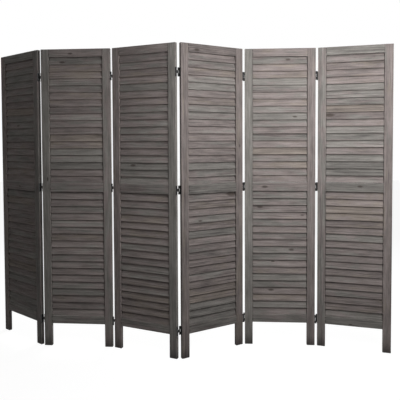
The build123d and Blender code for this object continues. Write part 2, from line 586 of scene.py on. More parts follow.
class Graph:
    """Adds nodes to a tree. A socket's value is a number, a colour or another node's output."""

    def __init__(self, tree: bpy.types.NodeTree) -> None:
        """Keeps the tree that the nodes go into."""
        self.tree = tree

    def add(self, kind: str, inputs: dict | None = None, **settings: object) -> bpy.types.Node:
        """Adds a node.

        Args:
            kind: the node's type.
            inputs: values by socket name or number.
            settings: the node's own properties.

        Returns:
            The node.
        """
        node = self.tree.nodes.new(kind)
        for key, value in settings.items():
            setattr(node, key, value)
        for key, value in (inputs or {}).items():
            if isinstance(value, bpy.types.NodeSocket):
                self.tree.links.new(value, node.inputs[key])
            else:
                node.inputs[key].default_value = value
        return node

    def calc(self, operation: str, *values: object, clamp: bool = False) -> bpy.types.NodeSocket:
        """One step of arithmetic; the values are numbers or sockets."""
        inputs = dict(enumerate(values))
        return self.add("ShaderNodeMath", inputs, operation=operation, use_clamp=clamp).outputs[0]

    def vector(self, operation: str, *values: object) -> bpy.types.NodeSocket:
        """One step of vector arithmetic; the values are vectors or sockets."""
        inputs = dict(enumerate(values))
        return self.add("ShaderNodeVectorMath", inputs, operation=operation).outputs[0]

    def split(self, vector: object) -> list[bpy.types.NodeSocket]:
        """The three parts of a vector."""
        return list(self.add("ShaderNodeSeparateXYZ", {0: vector}).outputs)

    def merge(self, x: object, y: object, z: object) -> bpy.types.NodeSocket:
        """A vector from its three parts."""
        return self.add("ShaderNodeCombineXYZ", {0: x, 1: y, 2: z}).outputs[0]

    def swing(self, value: object, size: object) -> bpy.types.NodeSocket:
        """Turns a value about one half into a swing of the given size about zero."""
        return self.calc("MULTIPLY", self.calc("SUBTRACT", value, 0.5), size)

    def swung(self, base: object, value: object, size: object) -> bpy.types.NodeSocket:
        """A base value that follows the swing of another."""
        return self.calc("MULTIPLY_ADD", self.calc("SUBTRACT", value, 0.5), size, base)

    def less(self, value: object, mask: object, share: float) -> bpy.types.NodeSocket:
        """A value that loses a share of itself where a mask is one."""
        return self.calc("MULTIPLY", value, self.calc("MULTIPLY_ADD", mask, -share, 1.0))

    def use(self, group: bpy.types.NodeTree, inputs: dict) -> bpy.types.Node:
        """Places a node group with its inputs."""
        return self.add("ShaderNodeGroup", inputs, node_tree=group)

    def ease(
        self, value: object, low: object, high: object, start: float = 0.0, end: float = 1.0
    ) -> bpy.types.NodeSocket:
        """Goes smoothly from start to end as a value goes from low to high.

        Args:
            value: the value.
            low: where it starts.
            high: where it ends.
            start: the result below low.
            end: the result above high.

        Returns:
            The result's socket.
        """
        inputs = dict(zip(("Value", "From Min", "From Max"), (value, low, high)))
        inputs |= {"To Min": start, "To Max": end}
        return self.add("ShaderNodeMapRange", inputs, interpolation_type="SMOOTHSTEP").outputs[0]

    def noise(self, vector: object, detail: float = 2.0, rough: float = 0.5) -> bpy.types.Node:
        """Noise, as a value and as a colour, on a vector whose parts are already scaled."""
        inputs = {"Vector": vector, "Scale": 1.0, "Detail": detail, "Roughness": rough}
        return self.add("ShaderNodeTexNoise", inputs)

    def blend(
        self, share: object, one: object, other: object, mode: str = "MIX"
    ) -> bpy.types.NodeSocket:
        """Blends two colours.

        Args:
            share: how much of the other.
            one: the first colour.
            other: the second colour.
            mode: the way they blend.

        Returns:
            The blended colour's socket.
        """
        inputs = {0: share, 6: one, 7: other}
        return self.add("ShaderNodeMix", inputs, data_type="RGBA", blend_type=mode).outputs[2]

    def mark(self, name: str) -> bpy.types.NodeSocket:
        """The vector that a surface carries under a name."""
        return self.add("ShaderNodeAttribute", attribute_name=name).outputs["Vector"]


SOCKETS = {"value": "NodeSocketFloat", "colour": "NodeSocketColor", "vector": "NodeSocketVector"}
GRAIN_MASKS = ("Rings", "Fibre", "Pores", "Knot", "Stain", "Shade")
RIM_MASKS = ("Arris", "End", "Floor Shade")
WHITE = (1.0, 1.0, 1.0, 1.0)


def value_sockets(*names: str) -> dict[str, str]:
    """Sockets that carry plain values."""
    return dict.fromkeys(names, "value")


@dataclass(frozen=True)
class Effect:
    """A shader node group: its name, and the kind of each named input and output."""

    name: str
    takes: dict[str, str]
    gives: dict[str, str]

    def open(self) -> tuple[Graph, dict[str, bpy.types.NodeSocket], bpy.types.Node]:
        """Makes the empty group.

        Returns:
            Its graph, its inputs by name, and the node that takes its results.
        """
        tree = bpy.data.node_groups.new(self.name, "ShaderNodeTree")
        for name, kind in self.takes.items():
            tree.interface.new_socket(name, in_out="INPUT", socket_type=SOCKETS[kind])
        for name, kind in self.gives.items():
            tree.interface.new_socket(name, in_out="OUTPUT", socket_type=SOCKETS[kind])
        source = tree.nodes.new("NodeGroupInput")
        sink = tree.nodes.new("NodeGroupOutput")
        return Graph(tree), {s.name: s for s in source.outputs if s.name}, sink


def close(graph: Graph, sink: bpy.types.Node, results: dict[str, object]) -> bpy.types.NodeTree:
    """Joins a group's results to its outputs.

    Args:
        graph: the group's graph.
        sink: the node that takes the results.
        results: sockets by output name.

    Returns:
        The finished group.
    """
    for name, socket in results.items():
        graph.tree.links.new(socket, sink.inputs[name])
    return graph.tree


def timber_grain() -> bpy.types.NodeTree:
    """Builds the grain group: growth rings, fibre, open pores, drifting stain and a knot.

    The rings are a sine of the distance from a pith that lies off the board's face, in ring gaps.
    A knot is an ellipse: its reach is the squared distance in its own radii, with the length drawn
    out along the grain. The grain flows round it, by a share that falls off exponentially.

    Returns:
        A group that reads a board's own coordinates, so that the grain follows each board.
    """
    effect = Effect(
        "Timber Grain",
        {"Board": "vector", "Seed": "value", "Knot": "vector", "Ring Gap": "value"},
        value_sockets(*GRAIN_MASKS, "Height"),
    )
    g, given, sink = effect.open()
    seed = given["Seed"]
    away_x, away_y, radius = g.split(given["Knot"])
    drawn_out = g.calc("DIVIDE", g.calc("MULTIPLY", away_x, 0.42), radius)
    reach = g.calc("POWER", drawn_out, 2.0)
    reach = g.calc("ADD", reach, g.calc("POWER", g.calc("DIVIDE", away_y, radius), 2.0))
    around = g.calc("EXPONENT", g.calc("MULTIPLY", reach, -0.22))
    x, y, z = g.split(given["Board"])
    y = g.calc("SUBTRACT", y, g.calc("MULTIPLY", g.calc("MULTIPLY", away_y, around), 0.75))
    x = g.calc("ADD", x, g.calc("MULTIPLY", seed, 41.0))
    z_shifted = g.calc("ADD", z, g.calc("MULTIPLY", seed, 7.3))

    def field_at(along: float, across: float, detail: float, rough: float = 0.5) -> bpy.types.Node:
        """Noise with its own pitch along the grain and across it."""
        scaled = g.vector("MULTIPLY", g.merge(x, y, z_shifted), (along, across, across))
        return g.noise(scaled, detail, rough)

    sway = g.swing(field_at(2.2, 7.0, 1.0).outputs[0], 0.035)
    wander = g.swing(field_at(9.0, 40.0, 2.0).outputs[0], 0.005)
    pith_y = g.swing(g.calc("FRACT", g.calc("MULTIPLY", seed, 17.0)), 0.09)
    from_pith = g.merge(
        0.0,
        g.calc("ADD", g.calc("ADD", y, pith_y), g.calc("ADD", sway, wander)),
        g.calc("ADD", z, 0.026),
    )
    far = g.add("ShaderNodeVectorMath", {0: from_pith}, operation="LENGTH").outputs["Value"]
    ring = g.calc("DIVIDE", far, given["Ring Gap"])
    wave = g.calc("SINE", g.calc("MULTIPLY", ring, 2 * math.pi))
    rings = g.calc("POWER", g.calc("MULTIPLY_ADD", wave, 0.5, 0.5), 2.2)
    coarse = g.calc("MULTIPLY", field_at(6.0, 170.0, 4.0, 0.65).outputs[0], 0.70)
    fine = g.calc("MULTIPLY", field_at(26.0, 1300.0, 2.0).outputs[0], 0.30)
    fibre = g.calc("ADD", coarse, fine)
    pores = g.ease(field_at(70.0, 2100.0, 1.0).outputs[0], 0.61, 0.71)
    stain, shade, _ = g.split(field_at(7.5, 34.0, 4.0, 0.6).outputs["Color"])
    core = g.ease(g.calc("ADD", reach, g.swing(fibre, 2.0)), 0.35, 2.2, 1.0, 0.0)
    ring_round = g.calc("MULTIPLY_ADD", g.calc("SINE", g.calc("MULTIPLY", reach, 5.0)), 0.12, 0.88)
    knot = g.calc("MULTIPLY", core, ring_round)
    rise = g.calc("ADD", g.calc("MULTIPLY", fibre, 0.7), g.calc("MULTIPLY", rings, 0.2))
    fall = g.calc("ADD", g.calc("MULTIPLY", pores, 0.5), g.calc("MULTIPLY", knot, 0.3))
    height = g.calc("SUBTRACT", rise, fall)
    masks = dict(zip(GRAIN_MASKS, (rings, fibre, pores, knot, stain, shade)))
    return close(g, sink, masks | {"Height": height})


def rim_wear_and_shade() -> bpy.types.NodeTree:
    """Builds the rim group: how near a point is to a worn long edge, to an end, and to the foot.

    The distance to an arris is the larger of the distances to the two sides that meet there,
    because one of them is zero on the surface. The arris mask is wear. On the wood the end and
    foot masks are painted shade, in the joints and near the floor; on the enamel the end mask is
    wear.

    Returns:
        A group that reads a part's own coordinates and half sizes.
    """
    effect = Effect(
        "Rim Wear And Shade",
        {"Board": "vector", "Half": "vector"}
        | value_sockets("Reach", "End Reach", "Floor Shade Reach", "Breakup"),
        value_sockets(*RIM_MASKS),
    )
    g, given, sink = effect.open()
    board, half = given["Board"], given["Half"]
    along, across, through = g.split(g.vector("SUBTRACT", half, g.vector("ABSOLUTE", board)))
    gap = g.calc("MAXIMUM", across, through)
    ragged = g.noise(g.vector("MULTIPLY", board, (90.0, 90.0, 90.0)), 3.0, 0.6).outputs[0]
    ragged = g.swing(ragged, given["Breakup"])
    arris = g.ease(g.calc("ADD", gap, ragged), 0.0, given["Reach"], 1.0, 0.0)
    # On the wood the end mask is painted shade in the joints; on the enamel it is wear.
    end_reach = given["End Reach"]
    inner = g.calc("MULTIPLY", end_reach, 0.6)
    in_from_end = g.calc("ADD", along, g.calc("MULTIPLY", ragged, 0.3))
    end = g.ease(in_from_end, inner, end_reach, 1.0, 0.0)
    # Painted shade near the floor: the mask is one at the lower end and eases off over the foot
    # reach.
    up = g.calc("ADD", g.split(half)[0], g.split(board)[0])
    up = g.calc("ADD", up, g.calc("MULTIPLY", ragged, 6.0))
    foot = g.ease(up, 0.0, given["Floor Shade Reach"], 1.0, 0.0)
    return close(g, sink, {"Arris": arris, "End": end, "Floor Shade": foot})


def grey_wash() -> bpy.types.NodeTree:
    """Builds the wash group: the thin grey coat over the grain, its tints, pores, knots and wear,
    and painted shade in the joints and near the floor.

    Returns:
        A group that gives colour and roughness.
    """
    effect = Effect(
        "Grey Wash",
        value_sockets(*GRAIN_MASKS)
        | {"Stamp": "vector"}
        | value_sockets(*RIM_MASKS)
        | dict.fromkeys(("Green Grey", "Mauve Grey", "Beige", "Bare"), "colour")
        | value_sockets("Patchiness", "Grain Depth"),
        {"Color": "colour", "Roughness": "value"},
    )
    g, given, sink = effect.open()
    tone, hue, _ = g.split(given["Stamp"])
    drifted = g.swung(hue, given["Stain"], given["Patchiness"])
    first = g.blend(g.ease(drifted, 0.18, 0.50), given["Green Grey"], given["Mauve Grey"])
    base = g.blend(g.ease(drifted, 0.58, 0.88), first, given["Beige"])
    depth = given["Grain Depth"]
    light = g.swung(1.0, tone, 0.62)
    light = g.swung(light, given["Shade"], 1.05)
    light = g.calc("MULTIPLY_ADD", g.swing(given["Fibre"], depth), 1.95, light)
    between_rings = g.calc("MULTIPLY", g.calc("SUBTRACT", 0.35, given["Rings"]), depth)
    light = g.calc("MULTIPLY_ADD", between_rings, 0.26, light)
    # Pores darken the wash as the wood's own colour; the end and foot masks darken it as painted
    # shade.
    for mask, share in (("Pores", 0.35), ("End", 0.75), ("Floor Shade", 0.62)):
        light = g.less(light, given[mask], share)
    coated = g.blend(1.0, base, g.merge(light, light, light), "MULTIPLY")
    heart = (0.060, 0.046, 0.038, 1.0)
    knotted = g.blend(g.calc("MULTIPLY", given["Knot"], 0.82), coated, heart)
    rubbed = g.blend(g.calc("MULTIPLY", given["Arris"], 0.30), knotted, given["Bare"])
    rough = g.calc("MULTIPLY_ADD", given["Fibre"], -0.22, 0.88)
    rough = g.calc("MULTIPLY_ADD", given["Arris"], -0.10, rough, clamp=True)
    return close(g, sink, {"Color": rubbed, "Roughness": rough})


def new_material(name: str) -> tuple[bpy.types.Material, Graph, bpy.types.Node]:
    """An empty material.

    Args:
        name: the material's name.

    Returns:
        The material, its graph, and its output node.
    """
    material = bpy.data.materials.new(name)
    material.use_nodes = True
    material.node_tree.nodes.clear()
    graph = Graph(material.node_tree)
    return material, graph, graph.add("ShaderNodeOutputMaterial")


@dataclass(frozen=True)
class WashedTimber:
    """Open-grained softwood under a thin grey wash that took unevenly.

    Attributes:
        name: the material's name.
        green_grey: the coolest tint of the wash.
        mauve_grey: its middle tint.
        beige: its warmest tint.
        bare: the paler wood where the wash is rubbed off an edge.
        ring_gap: spacing of the growth rings.
        patchiness: how far the stain drifts from one tint to the next within a board.
        grain_depth: how strongly fibre and rings show.
        relief: depth of the grain's relief.
        rub: how far the rubbing reaches in from an edge.
        end_reach: how far the painted shade of the joints reaches in from both ends.
        foot_reach: how far up from the lower end the painted shade near the floor reaches.
    """

    name: str
    green_grey: Colour = (0.264, 0.249, 0.231, 1.0)
    mauve_grey: Colour = (0.285, 0.244, 0.233, 1.0)
    beige: Colour = (0.290, 0.249, 0.220, 1.0)
    bare: Colour = (0.370, 0.325, 0.295, 1.0)
    ring_gap: float = 0.0052
    patchiness: float = 1.5
    grain_depth: float = 1.0
    relief: float = 0.0005
    rub: float = 0.0030
    end_reach: float = 0.0012
    foot_reach: float = 0.0001

    def material(
        self, grain: bpy.types.NodeTree, rims: bpy.types.NodeTree, wash: bpy.types.NodeTree
    ) -> bpy.types.Material:
        """Places the three effects and joins them to the shader.

        Args:
            grain: the grain group.
            rims: the rim group.
            wash: the wash group.

        Returns:
            The material.
        """
        material, g, out = new_material(self.name)
        board, stamp = g.mark("board"), g.mark("stamp")
        seed = g.split(stamp)[2]
        place = {"Board": board, "Seed": seed, "Knot": g.mark("knot")}
        fibres = g.use(grain, place | {"Ring Gap": self.ring_gap})
        reaches = {
            "Reach": self.rub,
            "End Reach": self.end_reach,
            "Floor Shade Reach": self.foot_reach,
            "Breakup": self.rub * 1.6,
        }
        edges = g.use(rims, {"Board": board, "Half": g.mark("half")} | reaches)
        masks = {key: fibres.outputs[key] for key in GRAIN_MASKS}
        masks |= {key: edges.outputs[key] for key in RIM_MASKS}
        look = {
            "Green Grey": self.green_grey,
            "Mauve Grey": self.mauve_grey,
            "Beige": self.beige,
            "Bare": self.bare,
            "Patchiness": self.patchiness,
            "Grain Depth": self.grain_depth,
        }
        coat = g.use(wash, masks | {"Stamp": stamp} | look)
        bump = g.add(
            "ShaderNodeBump",
            {"Strength": 0.8, "Distance": self.relief, "Height": fibres.outputs["Height"]},
        )
        shader = g.add(
            "ShaderNodeBsdfPrincipled",
            {
                "Base Color": coat.outputs["Color"],
                "Roughness": coat.outputs["Roughness"],
                "Normal": bump.outputs[0],
                "Specular IOR Level": 0.22,
            },
        )
        g.tree.links.new(shader.outputs[0], out.inputs[0])
        return material


@dataclass(frozen=True)
class BlackEnamel:
    """Satin black enamel on steel, thinned to a dull grey along rims."""

    name: str
    enamel: Colour = (0.0105, 0.0100, 0.0100, 1.0)
    steel: Colour = (0.120, 0.115, 0.110, 1.0)
    rub: float = 0.0006

    def material(self, rims: bpy.types.NodeTree) -> bpy.types.Material:
        """Joins enamel, rubbed rims and a fine orange-peel relief to the shader.

        Args:
            rims: the rim group.

        Returns:
            The material.
        """
        material, g, out = new_material(self.name)
        board = g.mark("board")
        reaches = {"Reach": self.rub, "End Reach": self.rub, "Breakup": self.rub * 2.5}
        edges = g.use(rims, {"Board": board, "Half": g.mark("half")} | reaches)
        peel = g.noise(g.vector("MULTIPLY", board, (1800.0, 1800.0, 1800.0)), 2.0)
        dust = g.noise(g.vector("MULTIPLY", board, (260.0, 260.0, 260.0)), 3.0, 0.6)
        worn = g.calc("MULTIPLY", edges.outputs["End"], 0.7)
        relief = {"Strength": 0.35, "Distance": 0.0001, "Height": peel.outputs[0]}
        bump = g.add("ShaderNodeBump", relief)
        shader = g.add(
            "ShaderNodeBsdfPrincipled",
            {
                "Base Color": g.blend(worn, self.enamel, self.steel),
                "Roughness": g.calc("MULTIPLY_ADD", dust.outputs[0], 0.30, 0.28),
                "Metallic": g.calc("MULTIPLY", worn, 0.8),
                "Normal": bump.outputs[0],
                "Specular IOR Level": 0.4,
            },
        )
        g.tree.links.new(shader.outputs[0], out.inputs[0])
        return material


def seen_directly(g: Graph) -> bpy.types.NodeSocket:
    """Tells rays that see a surface from those that only carry light.

    Args:
        g: the graph that asks.

    Returns:
        A socket that is one for rays from the camera, gloss or glass, and zero for the others.
    """
    path = g.add("ShaderNodeLightPath")
    shine = g.calc("MAXIMUM", path.outputs["Is Glossy Ray"], path.outputs["Is Transmission Ray"])
    return g.calc("MAXIMUM", path.outputs["Is Camera Ray"], shine)


@dataclass(frozen=True)
class PaleFloor:
    """A pale matt floor that reads white and keeps a faint shadow of the object."""

    name: str = "pale_floor"
    colour: Colour = (0.20, 0.20, 0.20, 1.0)
    lift: float = 0.93

    def material(self) -> bpy.types.Material:
        """A matt coat, with the white of the surroundings added for rays that see it directly."""
        material, g, out = new_material(self.name)
        matt = g.add("ShaderNodeBsdfDiffuse", {"Color": self.colour})
        strength = g.calc("MULTIPLY", seen_directly(g), self.lift)
        white = g.add("ShaderNodeEmission", {"Color": WHITE, "Strength": strength})
        both = g.add("ShaderNodeAddShader", {0: matt.outputs[0], 1: white.outputs[0]})
        g.tree.links.new(both.outputs[0], out.inputs[0])
        return material


# Sub-assemblies


@dataclass(frozen=True)
class Finishes:
    """The materials of the screen: one for the stiles, one for the rails, one for the louvres, one
    for the hinges.
    """

    stile_wood: bpy.types.Material
    frame_wood: bpy.types.Material
    louvre_wood: bpy.types.Material
    hinge_metal: bpy.types.Material

    @staticmethod
    def made() -> Finishes:
        """Builds the shared effects and the four finishes."""
        grain, rims, wash = timber_grain(), rim_wear_and_shade(), grey_wash()
        timbers = (
            # The stiles carry painted shade on their lowest 70 mm, near the floor.
            WashedTimber("washed_stile_timber", foot_reach=0.07),
            WashedTimber("washed_rail_timber"),
            # The louvres' longer end reach paints deeper shade where the slats go into the stiles.
            WashedTimber("washed_louvre_timber", rub=0.0022, end_reach=0.0054),
        )
        woods = [timber.material(grain, rims, wash) for timber in timbers]
        return Finishes(*woods, BlackEnamel("black_enamel").material(rims))


def settle(piece: bpy.types.Object, body: str, slot: str, *nodes: str) -> None:
    """Attaches a piece to its body, hides the nodes that it stands for, and reports it.

    Args:
        piece: the finished object.
        body: the body that it moves with.
        slot: not used.
        nodes: the nodes that it stands for.
    """
    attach(piece, body)
    if nodes:
        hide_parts(*nodes)
    LOG.info("%s: %d faces, moves with %s", piece.name, len(piece.data.polygons), body)


class Side(Enum):
    """The two sides of a panel or of a hinge line, seen from the front."""

    LEFT = "left"
    RIGHT = "right"


# How much lighter or darker the wash of each panel came out, from the left.
PANEL_TONES = (-0.16, 0.0, -0.02, -0.34, -0.02, -0.12)

# The clearest knots, by piece, panel and place in the piece from below.
CLEAR_KNOTS = {
    ("rail_middle", 6, 0): Knot(0.031, 0.006, 0.0050),
    ("louvres_upper", 5, 17): Knot(0.045, 0.004, 0.0060),
    ("louvres_upper", 5, 9): Knot(0.085, -0.004, 0.0045),
    ("louvres_upper", 6, 9): Knot(-0.135, 0.002, 0.0100),
    ("louvres_lower", 4, 17): Knot(0.125, 0.006, 0.0110),
    ("louvres_lower", 5, 3): Knot(-0.050, 0.002, 0.0060),
}


@dataclass
class Panel:
    """One panel: two stiles with their feet, three rails and two bays of louvres.

    Attributes:
        number: counted from the left, from 1.
        place: where its left end stands.
        sizes: the screen's measures.
        finishes: the screen's materials.
        slat_draw: how unevenly the slats took the wash.
        slat_seat: how far the end of a slat enters a stile.
        slat_slack: how much narrower and thinner a slat is than its slot.
        slat_lean: degrees by which a slat may lean less and more.
        slat_play: how far a slat may lie too low or too high.
        top_slat_rise: how far the slat under a rail is pushed up to it.
    """

    number: int
    place: Place
    sizes: ScreenSizes
    finishes: Finishes
    slat_draw: float = 0.13
    slat_seat: float = 0.002
    slat_slack: tuple[float, float] = (0.0004, 0.0003)
    slat_lean: tuple[float, float] = (-1.3, 0.5)
    slat_play: float = 0.0005
    top_slat_rise: float = 0.0004

    def __post_init__(self) -> None:
        """Starts the panel's own random draws."""
        self.rng = np.random.default_rng(700 + self.number)
        self.body = f"panel_{self.number}"
        self.tone = 0.5 + PANEL_TONES[self.number - 1]

    def knot(
        self, piece: str, index: int, half: tuple[float, float], odds: float
    ) -> Knot | None:
        """A board's knot: a clear one that is known, or by chance one anywhere, or none.

        Args:
            piece: the kind of piece.
            index: the board's place in the piece.
            half: how far from the board's middle a knot may lie, along and across.
            odds: chance of a knot.

        Returns:
            The knot, or None.
        """
        along = self.rng.uniform(-half[0], half[0])
        across = self.rng.uniform(-half[1], half[1])
        chance = Knot(along, across, self.rng.uniform(0.003, 0.0065))
        drawn = chance if self.rng.uniform() < odds else None
        return CLEAR_KNOTS.get((piece, self.number, index), drawn)

    def stile(self, side: Side) -> bpy.types.Object:
        """One upright from floor to top.

        Args:
            side: which stile.

        Returns:
            The finished piece.
        """
        s = self.sizes
        middle = s.stile_width / 2
        x = middle if side is Side.LEFT else s.panel_width - middle
        board = Board(
            s.panel_height, s.stile_width, s.thickness, arris=0.00172, end_round=0.0022, spans=68
        )
        tone, hue = self.rng.normal(self.tone + 0.05, 0.06), self.rng.uniform(0.0, 0.7)
        knot = self.knot("stile", 0, (0.7, 0.012), 0.4)
        surface = board.surface(self.rng, tone, hue, knot)
        surface = surface.moved(Lay.UPRIGHT.axes(), (x, 0.0, 0.0), self.place)
        return dressed(f"stile_{side.value}_{self.number}", surface, self.finishes.stile_wood)

    def rail(self, which: str) -> bpy.types.Object:
        """One rail between the stiles.

        Args:
            which: top, middle or bottom.

        Returns:
            The finished piece.
        """
        s = self.sizes
        base, height = s.rails[which]
        length = s.panel_width - 2 * s.stile_width
        board = Board(length, height, s.thickness, end_round=0.0, spans=14)
        tone, hue = self.rng.normal(self.tone, 0.07), self.rng.uniform(-0.1, 0.55)
        knot = self.knot(f"rail_{which}", 0, (0.12, 0.014), 0.2)
        surface = board.surface(self.rng, tone, hue, knot)
        origin = (s.stile_width, 0.0, base + height / 2)
        surface = surface.moved(Lay.LEVEL.axes(), origin, self.place)
        return dressed(f"rail_{which}_{self.number}", surface, self.finishes.frame_wood)

    def louvres(self, bay: str) -> bpy.types.Object:
        """One bay's slats, each with its own tint, grain and slight lean.

        Args:
            bay: lower or upper.

        Returns:
            The finished piece.
        """
        s = self.sizes
        board = Board(
            s.panel_width - 2 * s.stile_width + 2 * self.slat_seat,
            s.louvre_width - self.slat_slack[0],
            s.louvre_thickness - self.slat_slack[1],
            arris=0.0008,
            end_round=0.0,
            spans=3,
            bends=2,
            bow=0.0003,
            tongues=(0.0025, 0.0055),
        )
        slats = []
        for index, height in enumerate(s.louvre_heights(s.bays[bay])):
            tone = float(np.clip(self.rng.normal(self.tone, self.slat_draw), -0.2, 1.1))
            hue = self.rng.normal(0.46, 0.19)
            knot = self.knot(f"louvres_{bay}", index, (0.14, 0.012), 0.03)
            surface = board.surface(self.rng, tone, hue, knot)
            lean = s.louvre_tilt + self.rng.uniform(*self.slat_lean)
            rise = self.rng.uniform(-self.slat_play, self.slat_play)
            if index == s.louvres_per_bay - 1:
                rise = self.top_slat_rise
            origin = (s.stile_width - self.slat_seat, 0.0, float(height) + rise)
            slats.append(surface.moved(Lay.LEVEL.axes(lean), origin, self.place))
        name = f"louvres_{bay}_{self.number}"
        return dressed(name, Surface.joined(slats), self.finishes.louvre_wood)

    def build(self) -> None:
        """Makes and settles the panel's seven pieces."""
        node = f"panel_{self.number}_"
        for side in Side:
            settle(self.stile(side), self.body, "frame_wood", f"{node}{side.value}_stile")
        for which in ("top", "middle", "bottom"):
            settle(self.rail(which), self.body, "frame_wood", f"{node}{which}_rail")
        for bay in ("upper", "lower"):
            settle(self.louvres(bay), self.body, "louvre_wood", f"{node}{bay}_louvres")


ORIGIN = (0.0, 0.0, 0.0)


@dataclass
class HingeLine:
    """The three double-action hinges between two panels.

    Attributes:
        number: counted from the left, from 1.
        left: place of the panel to the left.
        right: place of the panel to the right.
        link: place of the links' middle.
        sizes: the screen's measures.
        finishes: the screen's materials.
    """

    number: int
    left: Place
    right: Place
    link: Place
    sizes: ScreenSizes
    finishes: Finishes

    def knuckles(self, centre: float) -> list[tuple[float, float]]:
        """The three knuckles of a hinge: the leaf's lower one, the link's, the leaf's upper one.

        Args:
            centre: height of the hinge's middle.

        Returns:
            The heights of each one's two ends, from below.
        """
        s = self.sizes
        third = (s.hinge_height - 2 * s.knuckle_gap) / 3
        low = centre - s.hinge_height / 2 + np.arange(3) * (third + s.knuckle_gap)
        return [(float(start), float(start + third)) for start in low]

    def rolled_knuckle(self) -> tuple[Array, Array]:
        """The outline of a leaf's rolled knuckle about its pivot.

        A strip as thick as the leaf comes in from -x and meets a circle of the barrel's radius.
        The circle runs from the strip's outer side, the long way round, back to its inner side.

        Returns:
            (n, 2) points and unit normals, n even.
        """
        s = self.sizes
        meet = math.asin(s.leaf_thickness / s.barrel_radius)
        angle = np.linspace(math.pi + 0.06, 3 * math.pi - meet, 30)
        start, end = [[-s.hinge_gap / 2, 0.0]], [[-s.hinge_gap / 2, s.leaf_thickness]]
        points = np.concatenate([start, s.barrel_radius * fan(angle), end])
        return points, np.concatenate([[[0.0, -1.0]], fan(angle), [[0.0, 1.0]]])

    def dog_bone(self) -> tuple[Array, Array]:
        """The outline of the link: a web between two barrels.

        From the tip of one barrel round to its neck, along the web to the other barrel, round that
        and back: each circle point is its barrel's centre plus the radius times (cos a, sin a).

        Returns:
            (n, 2) points and unit normals, n even.
        """
        s = self.sizes
        neck = math.asin(s.web_thickness / 2 / s.barrel_radius)
        front = fan(np.linspace(-math.pi / 2, math.pi / 2 - neck, 13))
        back = front[::-1] * [1, -1]
        to_front, to_back = [0, -s.pivot_y], [0, s.pivot_y]
        halves = [front * s.barrel_radius + to_front, back * s.barrel_radius + to_back]
        right = np.concatenate(halves)
        outward = np.concatenate([front, back])
        points = np.concatenate([right[1:-1], (right * [-1, 1])[::-1]])
        normals = np.concatenate([outward[1:-1], (outward * [-1, 1])[::-1]])
        return np.roll(points, 1, axis=0), np.roll(normals, 1, axis=0)

    def leaf(self, centre: float) -> Surface:
        """A leaf in its panel's drawing: a plate on the edge x = 0, two rolled knuckles in front.

        Args:
            centre: height of the hinge's middle.

        Returns:
            The leaf's surfaces in one.
        """
        s = self.sizes
        lower, _, upper = self.knuckles(centre)
        pivot = (s.hinge_gap / 2, -s.pivot_y)
        depth = s.pivot_y + s.thickness / 2 - s.leaf_back_margin
        plate, plate_out = rounded_outline(s.leaf_thickness, depth, 0.0006)
        shift = [s.leaf_thickness / 2, (s.thickness / 2 - s.leaf_back_margin - s.pivot_y) / 2]
        parts = [raised(plate + shift, plate_out, lower[0], upper[1], 0.0005)]
        outline, outward = self.rolled_knuckle()
        for low, high in (lower, upper):
            parts.append(raised(outline + pivot, outward, low, high))
        for end, up in ((lower[0], -1.0), (upper[1], 1.0)):
            parts.append(self.pin_head(pivot, end, up))
        return Surface.joined(parts)

    def pin_head(self, plan: tuple[float, float], height: float, up: float) -> Surface:
        """The domed head of a hinge pin: a half dome, the square root of 1 - r squared, kept low.

        Args:
            plan: x and y of the pin.
            height: height of the barrel's end.
            up: 1 for the upper head, -1 for the lower one.

        Returns:
            A closed dome.
        """
        rise, radius, sunk, reach = 0.0006, 0.0022, 0.0004, 0.002
        lean = np.radians(np.array([0.0, 25.0, 50.0, 75.0]))
        round_ = fan(np.linspace(0, 2 * np.pi, 16, endpoint=False))
        share = np.concatenate([[1.0], np.cos(lean)])
        top = np.concatenate([[-sunk], rise * np.sin(lean)])
        tip = np.concatenate([[0.0], lean])
        if up < 0:
            share, top, tip = share[::-1], -top[::-1], -tip[::-1]
        rings = ringed(height + top, radius * share[:, None, None] * round_ + np.array(plan))
        normals = ringed(np.sin(tip), np.cos(tip)[:, None, None] * round_)
        return metal_marks(skinned(rings, normals), height - reach, height + reach)

    def screws(self, centre: float) -> Surface:
        """The countersunk screw heads of a leaf, on its face in the gap.

        A head is a grid of radius and turn. Its height is a low dome, less a cross slot that cuts
        in where the distance to either arm of the cross is under half the slot's width.

        Args:
            centre: height of the hinge's middle.

        Returns:
            The heads in the panel's drawing, standing on the edge x = 0.
        """
        s = self.sizes
        head_radius, slot_half, slot_end, slot_depth = 0.0029, 0.00042, 0.68, 0.00055
        dome, skirt, aside, apart = 0.0003, 0.0006, 0.002, 0.0165
        radius = np.array([1.0, 0.96, 0.72, 0.62, 0.34, 0.16, 0.05])
        turn = np.radians(np.arange(0, 360, 11.25))
        y = head_radius * radius[:, None] * np.cos(turn)
        z = head_radius * radius[:, None] * np.sin(turn)
        off_cross = np.minimum(np.abs(y), np.abs(z))
        in_cross = (off_cross < slot_half) & (radius[:, None] < slot_end)
        out = dome * np.sqrt(1.0 - 0.9 * radius[:, None] ** 2) - slot_depth * in_cross
        out[0] = -skirt
        rings = np.stack([out + s.leaf_thickness, y, z], axis=-1)
        lean = np.stack([np.ones_like(y), 0.3 * y / head_radius, 0.3 * z / head_radius], axis=-1)
        lean[0] = np.stack([np.zeros(len(turn)), np.cos(turn), np.sin(turn)], axis=-1)
        lean /= np.linalg.norm(lean, axis=-1, keepdims=True)
        head = metal_marks(skinned(rings, lean), -0.01, 0.01)
        heads = []
        for rise in (-apart, apart):
            points = head.points + [0.0, -aside, centre + rise]
            heads.append(Surface(points, head.faces, head.normals, head.marks))
        return Surface.joined(heads)

